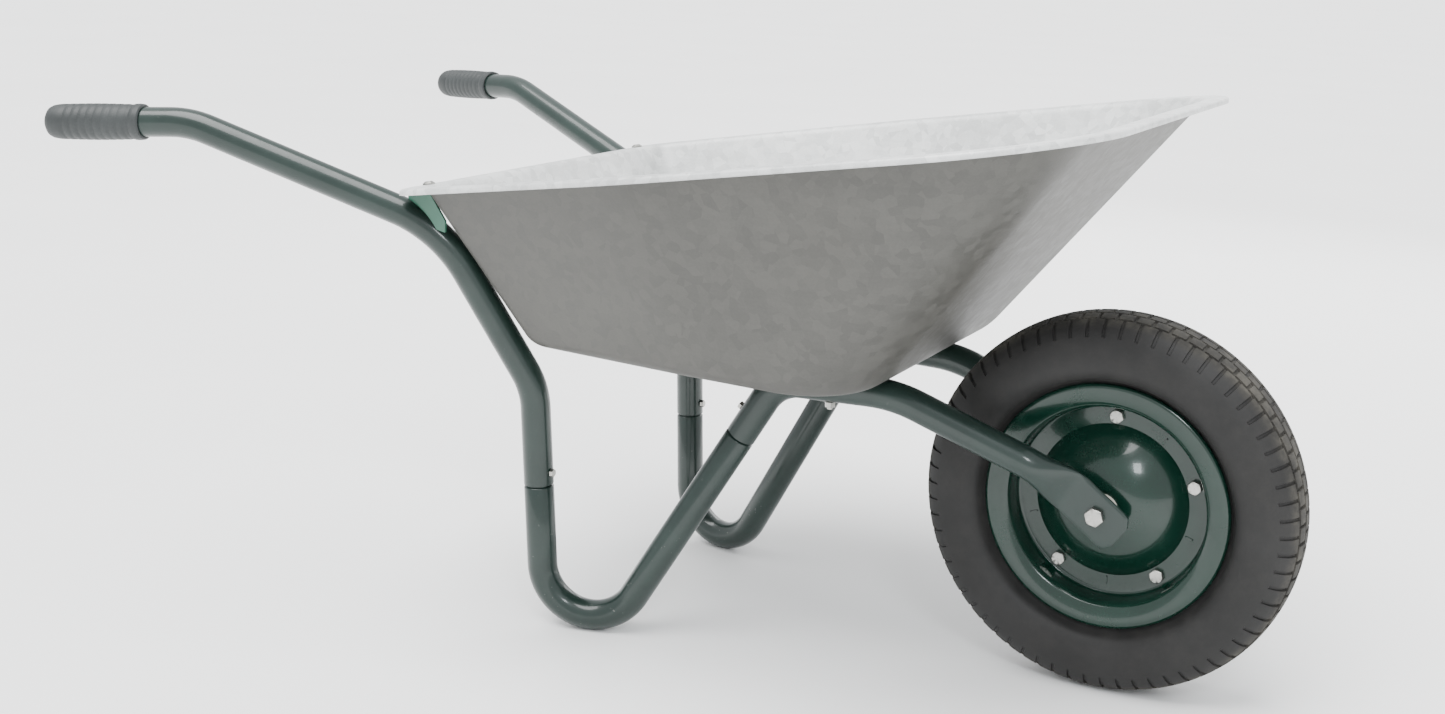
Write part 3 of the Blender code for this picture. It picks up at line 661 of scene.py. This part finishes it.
def grip_profile():
    """The grip's outside, from the domed end to the collar, and the bore back in."""
    outside = [(0.0004, -0.0060), (0.0070, -0.0057), (0.0125, -0.0044), (0.0160, -0.0018),
               (0.0178, 0.0020), (0.0186, 0.0070)]
    palm_start, palm_end = 0.012, 0.082
    for groove in range(GRIP_GROOVES):
        at = palm_start + (palm_end - palm_start) * groove / (GRIP_GROOVES - 1)
        swell = 0.0190 + 0.0006 * math.sin(math.pi * groove / (GRIP_GROOVES - 1))
        rib_end = at + RIB_WIDTH
        foot = swell - RIB_HEIGHT
        outside += [(swell, at), (swell, rib_end), (foot, rib_end + 0.0010), (foot, rib_end + 0.0020)]
    outside += [(0.0186, 0.0915), (0.0183, 0.0930), (0.0193, 0.0945), (0.0195, 0.0985),
                (0.0190, GRIP_LENGTH - 0.0012), (0.0178, GRIP_LENGTH)]
    return outside + [(0.01625, GRIP_LENGTH), (0.01620, 0.0008), (0.0004, 0.0008)]


def grip(side, label):
    """One grip on its handle."""
    p = route(side)
    ahead = (p["handle_bend"] - p["grip_end"]).normalized()
    piece = turned("grip_skin_" + label, grip_profile(), 48, p["grip_end"] - ahead * 0.0012, ahead)
    return dress(piece, GRIP_PLASTIC, "frame", "grip_plastic", "grip_" + label)


grips = [grip(side, label) for label, side in SIDES]
print("grips reach x =", round(min(v.co.x for v in grips[0].data.vertices), 4))

# %% [markdown]
# ## Pan
# The pan is one sheet pressed deep: a turned-down lip, a flat flange, straight walls and a
# rounded floor edge. Three outlines with rounded corners guide it: the flange's edge, the
# wall's top and the floor. Rings between them make the surface, with curves where a press
# would leave a bend, and Solidify gives the sheet its thickness.

# %% Outlines of the pan
RIM_HEIGHT = 0.587
RIM_SLOPE = 0.16
FLOOR_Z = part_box("pan")[0].z
PER_CORNER = 15

FLANGE_EDGE = [(-0.706, 0.263, 0.036), (-0.400, 0.338, 0.500), (0.042, 0.350, 0.150)]
WALL_TOP = [(-0.684, 0.244, 0.022), (-0.402, 0.314, 0.480), (0.018, 0.326, 0.128)]
WALL_FOOT = [(-0.588, 0.188, 0.024), (-0.390, 0.214, 0.400), (-0.204, 0.231, 0.076)]
FLOOR_EDGE = [(-0.571, 0.172, 0.010), (-0.388, 0.197, 0.380), (-0.221, 0.214, 0.059)]


def rim_plane(x):
    """The flange rises towards the wheel."""
    return RIM_HEIGHT + RIM_SLOPE * x


def outline(corners, height):
    """A closed outline, mirrored left to right, with rounded corners."""
    ring = [(x, y, r) for x, y, r in corners] + [(x, -y, r) for x, y, r in reversed(corners)]
    points = []
    for i, (x, y, radius) in enumerate(ring):
        before = Vector(ring[i - 1][:2])
        corner = Vector((x, y))
        after = Vector(ring[(i + 1) % len(ring)][:2])
        incoming = (corner - before).normalized()
        outgoing = (after - corner).normalized()
        turn = incoming.angle(outgoing)
        inward = (outgoing - incoming * math.cos(turn)).normalized()
        start = corner - incoming * radius * math.tan(turn / 2)
        for k in range(PER_CORNER):
            a = turn * k / (PER_CORNER - 1)
            q = start + incoming * radius * math.sin(a) + inward * radius * (1 - math.cos(a))
            points.append(from_axle(q.x, q.y, height(q.x)))
    return points


def blend_rings(first, second, t):
    """A ring part of the way between two."""
    return [a.lerp(b, t) for a, b in zip(first, second)]


def curve_rings(first, middle, last, steps):
    """Rings round a bend, from first to last, steered by the middle one."""
    made = []
    for step in range(1, steps + 1):
        t = step / steps
        made.append(blend_rings(blend_rings(first, middle, t), blend_rings(middle, last, t), t))
    return made


# %% Pan
LIP_DEPTH = 0.005
PAN_SHEET = 0.0012
WALL_LEVELS = 9
FILLET_START = 0.92


def pan_rings():
    """From the lip's edge over the flange, down the wall and onto the floor."""
    edge = outline(FLANGE_EDGE, rim_plane)
    top = outline(WALL_TOP, rim_plane)
    foot = outline(WALL_FOOT, lambda x: FLOOR_Z)
    floor = outline(FLOOR_EDGE, lambda x: FLOOR_Z)
    lip = [q - Vector((0, 0, LIP_DEPTH)) for q in edge]
    rings = [lip, blend_rings(lip, edge, 0.55)]
    rings += curve_rings(rings[-1], edge, blend_rings(edge, top, 0.10), 4)
    rings.append(blend_rings(edge, top, 0.80))
    rings += curve_rings(rings[-1], top, blend_rings(top, foot, 0.03), 5)
    for level in range(1, WALL_LEVELS + 1):
        rings.append(blend_rings(top, foot, 0.03 + (FILLET_START - 0.03) * level / WALL_LEVELS))
    rings += curve_rings(rings[-1], foot, floor, 9)
    return rings + [blend_rings(rings[-1], [sum(rings[-1], Vector()) / len(floor)] * len(floor), 0.5)]


def make_pan():
    """The pressed tray, its underside on the outlines and its sheet above them."""
    rings = pan_rings()

    def build(bm):
        rows = [[bm.verts.new(p) for p in ring] for ring in rings]
        for first, second in zip(rows, rows[1:]):
            for i in range(len(first)):
                j = (i + 1) % len(first)
                bm.faces.new((first[j], first[i], second[i], second[j]))
        bm.faces.new(rows[-1])

    mesh = bpy.data.meshes.new("pan_sheet")
    bm = bmesh.new()
    build(bm)
    bmesh.ops.recalc_face_normals(bm, faces=bm.faces)
    bm.faces.ensure_lookup_table()
    if bm.faces[-1].normal.z > 0:
        bmesh.ops.reverse_faces(bm, faces=bm.faces)
    bm.to_mesh(mesh)
    bm.free()
    tray = smooth_object("pan_sheet", mesh, 40)
    sheet = tray.modifiers.new("sheet", "SOLIDIFY")
    sheet.thickness = PAN_SHEET
    sheet.offset = -1.0
    sheet.use_even_offset = True
    sheet.material_offset = 1
    sheet.material_offset_rim = 1
    # The outer face takes the darkened zinc, painted shade; the inner face takes the zinc's own colour.
    dress(tray, GALVANISED_PAINTED_SHADE, "frame", "galvanised", "pan")
    tray.data.materials.append(GALVANISED_INSIDE)
    return tray


pan = make_pan()
print("pan:", len(pan.data.polygons), "faces, floor at", round(FLOOR_Z, 4))

# %% [markdown]
# ## Tyre
# The tyre's section runs from the crown, over the shoulder and down the sidewall to the bead.
# Its outer face is a grid of rows along that section and columns round the wheel. Each lug
# pitch has columns close together where a block's wall stands, so pushing the grid inwards
# cuts crisp grooves: two that run round, and cross grooves that step from row to row.

# %% Section of the tyre
LUG_PITCHES = 66
PITCH_COLUMNS = (0.0, 0.035, 0.19, 0.225, 0.36, 0.50, 0.535, 0.69, 0.725, 0.86)
GROOVE_DEPTH = 0.0028
TREAD_ROWS = (0.0, 3.3, 6.4, 7.0, 9.0, 9.6, 13.0, 17.0, 21.0, 23.4, 24.0, 26.0, 26.6, 30.0,
              34.0, 38.0, 42.0, 45.5, 48.0, 49.2)
OUTER_SIDE = ((195.0, 0.0), (193.4, 20.0), (187.0, 34.0), (170.0, 43.5), (148.0, 47.0),
              (135.0, 41.5), (128.4, 28.5), (121.0, 27.0), (112.5, 29.0), (107.0, 27.4),
              (104.4, 23.0))
INNER_SIDE = ((104.4, 19.5), (128.0, 23.0), (137.0, 33.0), (150.0, 39.5), (166.0, 37.5),
              (182.0, 24.0), (186.5, 0.0))


def smooth_through(points, per_span):
    """A curve through points. Its first point lies on the crown, where the two sides mirror."""
    made = []
    for i in range(len(points) - 1):
        a = Vector(points[max(i - 1, 0)])
        b, c = Vector(points[i]), Vector(points[i + 1])
        d = Vector(points[min(i + 2, len(points) - 1)])
        if i == 0:
            a = Vector((c.x, -c.y))
        for k in range(per_span):
            t = k / per_span
            made.append(0.5 * (2 * b + (c - a) * t + (2 * a - 5 * b + 4 * c - d) * t ** 2
                               + (3 * b - a - 3 * c + d) * t ** 3))
    return made + [Vector(points[-1])]


def tyre_rows():
    """Rows down one side: place on the section, direction out of it, distance from the crown."""
    curve = smooth_through(OUTER_SIDE, 16)
    travel = [0.0]
    for first, second in zip(curve, curve[1:]):
        travel.append(travel[-1] + (second - first).length)
    wanted = list(TREAD_ROWS)
    while wanted[-1] + 3.2 < travel[-1]:
        wanted.append(wanted[-1] + 3.0)
    wanted.append(travel[-1])
    rows = []
    for distance in wanted:
        i = min(max(k for k, s in enumerate(travel) if s <= distance + 1e-9), len(curve) - 2)
        t = (distance - travel[i]) / (travel[i + 1] - travel[i])
        run = (curve[i + 1] - curve[i]).normalized()
        rows.append((curve[i].lerp(curve[i + 1], t), Vector((run.y, -run.x)), distance))
    return rows


def groove(distance, column):
    """How deep the tread is cut at a distance from the crown and a column of the pitch."""
    if 7.0 <= distance <= 9.0 or 24.0 <= distance <= 26.0:
        return 1.0
    if 9.0 < distance < 24.0:
        return 1.0 if column in (6, 7) else 0.0
    if distance < 7.0:
        return 0.9 if column in (1, 2) else 0.0
    if distance <= 48.0:
        return (1.0 - 0.5 * (distance - 26.0) / 22.0) if column in (1, 2) else 0.0
    return 0.0


print("tyre rows on one side:", len(tyre_rows()))

# %% Tyre
def make_tyre():
    """The casing with its tread, turned about the axle."""
    rows = tyre_rows()
    sections = []
    for pitch in range(LUG_PITCHES):
        for column, share in enumerate(PITCH_COLUMNS):
            angle = 2 * math.pi * (pitch + share) / LUG_PITCHES
            right, left = [], []
            for place, out, distance in rows:
                cut = GROOVE_DEPTH * 1000 * groove(distance, column)
                mirrored_column = (column + 5) % 10 if distance > 7.0 else column
                cut_left = GROOVE_DEPTH * 1000 * groove(distance, mirrored_column)
                right.append(place - out * cut)
                left.append(place - out * cut_left)
            section = [(q.x, q.y) for q in reversed(left)] + [(q.x, -q.y) for q in right[1:]]
            section += [(r, -a) for r, a in INNER_SIDE] + [(r, a) for r, a in INNER_SIDE[-2::-1]]
            out_dir = Vector((math.cos(angle), 0, math.sin(angle)))
            sections.append([AXLE + out_dir * (r / 1000) + Vector((0, a / 1000, 0)) for r, a in section])
    mesh = mesh_of("tyre_tread", lambda bm: skin(bm, sections, loop=True))
    return dress(smooth_object("tyre_tread", mesh, 32), TYRE_RUBBER, "wheel", "tyre_rubber", "tyre")


tread = make_tyre()
print("tyre:", len(tread.data.polygons), "faces")

# %% [markdown]
# ## Rim
# Two pressed halves bolt together. From the hub out, each has a deep dome, a flat ring with
# the bolts, a step up to the bead seat and a rolled flange. A fine profile turned in many
# steps keeps the gloss paint's reflections smooth. Five short raised dashes on the ring stand
# midway between the bolts.

# %% Rim halves
RIM_SHEET = 0.0024
RIM_FACE = RIM_SHEET + 0.00015
DOME_FOOT = 0.0795
DOME_RISE = 0.0349
DOME_STEPS = 18
RIM_TURN_STEPS = 112
HUB_RADIUS = 0.0183


def rim_face():
    """The outward face of a rim half as (radius, distance from the middle)."""
    face = []
    for k in range(DOME_STEPS + 1):
        u = k / DOME_STEPS
        face.append((HUB_RADIUS + (DOME_FOOT - HUB_RADIUS) * u, RIM_FACE + DOME_RISE * (1 - u * u)))
    face += [(0.0801, RIM_FACE), (0.0880, RIM_FACE), (0.0966, RIM_FACE)]
    face += [(0.0985, RIM_FACE + 0.0003), (0.0998, RIM_FACE + 0.0014), (0.1004, 0.0060),
             (0.1010, 0.0140), (0.1015, 0.0230), (0.1021, 0.0256), (0.1034, 0.0280), (0.1052, 0.0297)]
    face += [(0.1090, 0.0312), (0.1140, 0.0325), (0.1190, 0.0333), (0.1225, 0.0334),
             (0.1250, 0.0327), (0.1263, 0.0311), (0.1268, 0.0287)]
    return face


def behind(face, thickness):
    """The sheet's other face."""
    moved = []
    for i, (radius, distance) in enumerate(face):
        before, after = face[max(i - 1, 0)], face[min(i + 1, len(face) - 1)]
        run = Vector((after[0] - before[0], after[1] - before[1])).normalized()
        moved.append((radius + run.y * thickness, distance - run.x * thickness))
    return moved


def box_shell(bm, centre, ahead, across, up, size):
    """Adds a small block, narrower at its top like a pressed mark."""
    corners = []
    for z, shrink in ((-0.5, 1.0), (0.5, 0.72)):
        for sx, sy in ((-1, -1), (1, -1), (1, 1), (-1, 1)):
            offset = ahead * sx * size[0] / 2 * shrink + across * sy * size[1] / 2 * shrink
            corners.append(bm.verts.new(centre + offset + up * z * size[2]))
    for face in ((3, 2, 1, 0), (4, 5, 6, 7), (0, 1, 5, 4), (1, 2, 6, 5), (2, 3, 7, 6), (3, 0, 4, 7)):
        bm.faces.new([corners[i] for i in face])


def rim_bolt_places():
    """Where each rim bolt goes through, measured from the axle."""
    places = []
    for i in range(1, 6):
        low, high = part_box(f"rim_bolt_{i}")
        places.append(Vector(((low.x + high.x) / 2, 0, (low.z + high.z) / 2)) - Vector((AXLE.x, 0, AXLE.z)))
    return places


def rim_half(side, label):
    """One half, with the raised dashes between its bolts."""
    face = rim_face()
    loop = face + behind(face, RIM_SHEET)[::-1]
    rings = turned_rings(loop, RIM_TURN_STEPS, AXLE, Vector((0, side, 0)))

    def build(bm):
        skin(bm, rings, loop=True)
        for place in rim_bolt_places():
            out = Vector((place.x, 0, place.z)).normalized()
            out.rotate(Quaternion((0, 1, 0), math.radians(36)))
            across = out.cross(Vector((0, 1, 0)))
            centre = AXLE + out * 0.0855 + Vector((0, side * (RIM_FACE + 0.0004), 0))
            box_shell(bm, centre, out, across, Vector((0, side, 0)), (0.0090, 0.0018, 0.0012))

    piece = smooth_object("rim_" + label, mesh_of("rim", build), 38)
    return dress(piece, WHEEL_PAINT, "wheel", "green_paint", "rim_half_" + label)


rims = [rim_half(side, label) for label, side in SIDES]
print("rim halves:", [len(rim.data.polygons) for rim in rims], "faces")

# %% [markdown]
# ## Hexagon bolts and nuts
# A hexagon is turned from round bar, so its corners are rounded off by a cone. Taking the
# smaller of the hexagon and the cone at every angle draws that curved chamfer. The bolt's end
# gets thread ridges past its nut.

# %% Hexagons
def hexagon_rings(profile, flats, steps, centre, axis):
    """Rings of (radius, distance, six_sided) entries about an axis."""
    across = axis.orthogonal().normalized()
    up = axis.cross(across)
    rings = []
    for i in range(steps):
        a = 2 * math.pi * i / steps
        side_reach = flats / 2 / math.cos(a % (math.pi / 3) - math.pi / 6)
        out = across * math.cos(a) + up * math.sin(a)
        rings.append([centre + out * (min(r, side_reach) if six else r) + axis * d
                      for r, d, six in profile])
    return rings


def crown(flats, bottom, top):
    """The chamfered part of a hexagon, from its lower to its upper face."""
    corner = flats / 2 / math.cos(math.pi / 6)
    rise = (top - bottom) * 0.16
    return [(corner, bottom, True), (corner, top - rise, True), (flats * 0.535, top - rise * 0.5, True),
            (flats * 0.475, top, True)]


def threads(radius, start, end, pitch):
    """Ridges along a shank."""
    ridges = []
    at = start
    while at + pitch < end - 0.0006:
        ridges += [(radius, at, False), (radius * 0.90, at + pitch / 2, False)]
        at += pitch
    return ridges + [(radius, at, False), (radius * 0.86, end, False)]


def hexagon_bolt(name, node, flats, head, shank, thread_from, body):
    """A bolt in place of its node: head at the box's right, thread at its left."""
    low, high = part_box(node)
    centre = Vector(((low.x + high.x) / 2, low.y + head, (low.z + high.z) / 2))
    top = [(r, -d, six) for r, d, six in crown(flats, 0.0, head)][::-1]
    end = high.y - centre.y
    profile = [(0.0003, -head, False)] + top + [(shank, 0.0, False)]
    profile += threads(shank, thread_from - centre.y, end, 0.00125) + [(0.0003, end, False)]
    rings = hexagon_rings(profile, flats, 48, centre, Vector((0, 1, 0)))
    piece = smooth_object(name, mesh_of(name, lambda bm: skin(bm, rings, loop=True)), 30)
    return dress(piece, ZINC, body, "zinc", node)


def hexagon_nut(name, node, flats, bore, body):
    """A nut in place of its node, open in the middle."""
    low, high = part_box(node)
    centre = Vector(((low.x + high.x) / 2, low.y, (low.z + high.z) / 2))
    height = high.y - low.y
    profile = crown(flats, 0.0, height) + [(bore * 1.08, height, False), (bore, height - 0.0006, False),
                                           (bore, 0.0, False)]
    rings = hexagon_rings(profile, flats, 48, centre, Vector((0, 1, 0)))
    piece = smooth_object(name, mesh_of(name, lambda bm: skin(bm, rings, loop=True)), 30)
    return dress(piece, ZINC, body, "zinc", node)


for i in range(1, 6):
    nut_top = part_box(f"rim_nut_{i}")[1].y
    hexagon_bolt(f"rim_fixing_{i}", f"rim_bolt_{i}", 0.013, 0.0053, 0.0040, nut_top, "wheel")
    hexagon_nut(f"rim_fixing_nut_{i}", f"rim_nut_{i}", 0.013, 0.0043, "wheel")
hexagon_bolt("axle_fixing", "axle_bolt", 0.017, 0.0064, 0.0060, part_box("axle_nut")[1].y, "frame")
hexagon_nut("axle_fixing_nut", "axle_nut", 0.018, 0.0063, "frame")
print("fixings: 5 rim bolts, 5 rim nuts, axle bolt and nut")

# %% [markdown]
# ## Finishes on the imported pieces
# Pieces whose CAD shape is already right keep it and only get a finish, chosen by the record's
# material slot. The wheel's painted nodes take the wheel's green instead, and the pan brackets
# take a lighter copy of the frame's green: painted light where they face the lamps.

# %% Paint the remaining nodes
SLOT_FINISH = {
    "green_paint": FRAME_PAINT,
    "galvanised": GALVANISED_PAINTED_SHADE,
    "tyre_rubber": TYRE_RUBBER,
    "black_rubber": TUBE_RUBBER,
    "grip_plastic": GRIP_PLASTIC,
    "zinc": ZINC,
    "nylon": NYLON,
}
slots = {entry["node"]: entry["material_slot"] for entry in frame["record"]["subparts"]}
for name, node in frame["nodes"].items():
    material = SLOT_FINISH[slots[name]]
    if name.startswith(("rim_half", "hub_tube")):
        material = WHEEL_PAINT
    # The brackets get the lighter green, painted light.
    if name.startswith("pan_bracket"):
        material = BRACKET_PAINT_PAINTED_LIGHT
    node.data.materials.clear()
    node.data.materials.append(material)
print("painted", len(frame["nodes"]), "nodes")

# %% [markdown]
# ## Studio
# A pale floor that runs to the horizon, a bright room, and soft daylight from above, which
# leaves the undercut sides of the pan unlit; their dark grey is also painted shade in the pan's
# outside finish. A low soft lamp behind edges the flange and the tubes, and a small
# window-like lamp shows on the dome.

# %% Floor and room
def floor_finish():
    """Pale matt paper with the faintest mottle."""
    f = Finish("studio_floor", Roughness=0.9)
    colour = f.mix(f.noise(1.5).step(0.3, 0.7), (0.89, 0.89, 0.885, 1), (0.91, 0.91, 0.905, 1))
    return f.paint(Base_Color=colour)


def make_floor():
    """A large square of floor at ground level."""
    bpy.ops.mesh.primitive_plane_add(size=80.0)
    floor = bpy.context.object
    floor.name = "studio_floor"
    floor.data.materials.append(floor_finish())


def make_room(strength):
    """An even pale room."""
    world = bpy.data.worlds.new("room")
    bpy.context.scene.world = world
    world.use_nodes = True
    background = world.node_tree.nodes["Background"]
    background.inputs["Color"].default_value = (0.96, 0.98, 1.0, 1)
    background.inputs["Strength"].default_value = strength


make_floor()
make_room(1.45)


# %% Lamps
def lamp(name, at, aim, size, power, colour=(1, 1, 1)):
    """A rectangular soft lamp aimed at a point."""
    data = bpy.data.lights.new(name, "AREA")
    data.shape = "RECTANGLE"
    data.size, data.size_y = size
    data.energy = power
    data.color = colour
    light = bpy.data.objects.new(name, data)
    light.location = at
    light.rotation_euler = (Vector(aim) - Vector(at)).to_track_quat("-Z", "Y").to_euler()
    bpy.context.scene.collection.objects.link(light)
    return light


def daylight(strength, spread, tilt):
    """Even soft light from above that reaches the whole floor alike."""
    data = bpy.data.lights.new("daylight", "SUN")
    data.energy = strength
    data.angle = math.radians(spread)
    light = bpy.data.objects.new("daylight", data)
    light.rotation_euler = tilt
    bpy.context.scene.collection.objects.link(light)
    return light


daylight(5.6, 50.0, (math.radians(14), math.radians(-8), 0))
lamp("back", (0.4, 2.9, 1.5), (0.0, 0.0, 0.45), (3.2, 1.0), 45.0)
lamp("window", (1.5, -2.0, 1.9), AXLE, (0.45, 0.60), 22.0, (0.92, 0.97, 1.0))
print("studio ready")
